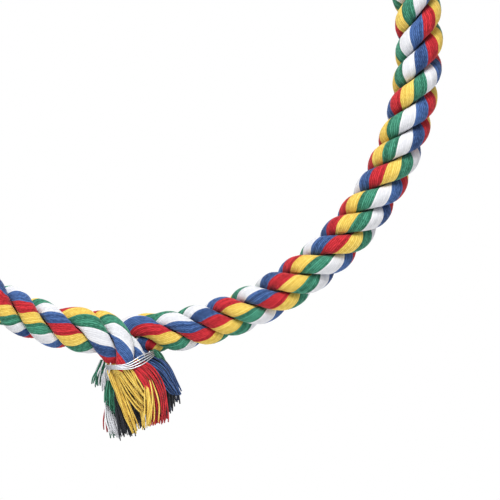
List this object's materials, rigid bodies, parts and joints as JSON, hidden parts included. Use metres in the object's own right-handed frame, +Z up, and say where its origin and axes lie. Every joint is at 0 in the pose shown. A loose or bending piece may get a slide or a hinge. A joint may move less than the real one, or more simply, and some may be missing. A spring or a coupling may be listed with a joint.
{
  "type": "rope swing perch",
  "caption": "Ring of multicoloured three-strand cotton rope, bound with wire and tasselled at the bottom, hung from a wire eye, a welded ring and a screw link as a swinging bird perch.",
  "frame": {"origin": "the point at the top inside of the screw link that bears on the bar the perch hangs from", "axes": "+Z up along the hanger, +X to the right in the plane of the rope ring as seen from the front, the front facing -Y"},
  "size_m": [0.2813, 0.0279, 0.394],
  "materials": {
    "plated_steel": "zinc-plated, bright, slightly worn",
    "spring_steel": "plain drawn wire, hidden in the rope",
    "galvanised_wire": "galvanised soft wire, bright grey",
    "red_cotton": "dyed cotton yarn, matte",
    "green_cotton": "dyed cotton yarn, matte",
    "blue_cotton": "dyed cotton yarn, matte",
    "yellow_cotton": "dyed cotton yarn, matte",
    "white_cotton": "undyed cotton yarn, matte",
    "dark_cotton": "dark grey cotton yarn, matte"
  },
  "bodies": {
    "screw_link": {"link_body": "plated_steel"},
    "sleeve": {"link_sleeve": "plated_steel"},
    "welded_ring": {"swing_ring": "plated_steel"},
    "perch": {"rope_strand_1": "red_cotton", "rope_strand_2": "green_cotton", "rope_strand_3": "blue_cotton", "core_wire": "spring_steel", "end_binding": "galvanised_wire", "hanging_eye": "galvanised_wire", "front_tuft_white": "white_cotton", "front_tuft_green": "green_cotton", "front_tuft_dark": "dark_cotton", "front_tuft_yellow": "yellow_cotton", "front_tuft_red": "red_cotton", "front_tuft_blue": "blue_cotton", "back_tuft_green": "green_cotton", "back_tuft_white": "white_cotton", "back_tuft_yellow": "yellow_cotton", "back_tuft_red": "red_cotton", "back_tuft_dark": "dark_cotton", "back_tuft_blue": "blue_cotton"}
  },
  "joints": [
    {"name": "sleeve_travel", "type": "slide", "parent": "screw_link", "child": "sleeve", "axis": [0, 0, 1], "range_m": [0, 0.0098]},
    {"name": "side_swing", "type": "hinge", "parent": "screw_link", "child": "welded_ring", "pos_m": [0, 0, -0.0415], "axis": [0, 1, 0], "range_deg": [-60, 60]},
    {"name": "fore_aft_swing", "type": "hinge", "parent": "welded_ring", "child": "perch", "pos_m": [0, 0, -0.0606], "axis": [1, 0, 0], "range_deg": [-75, 75]}
  ]
}
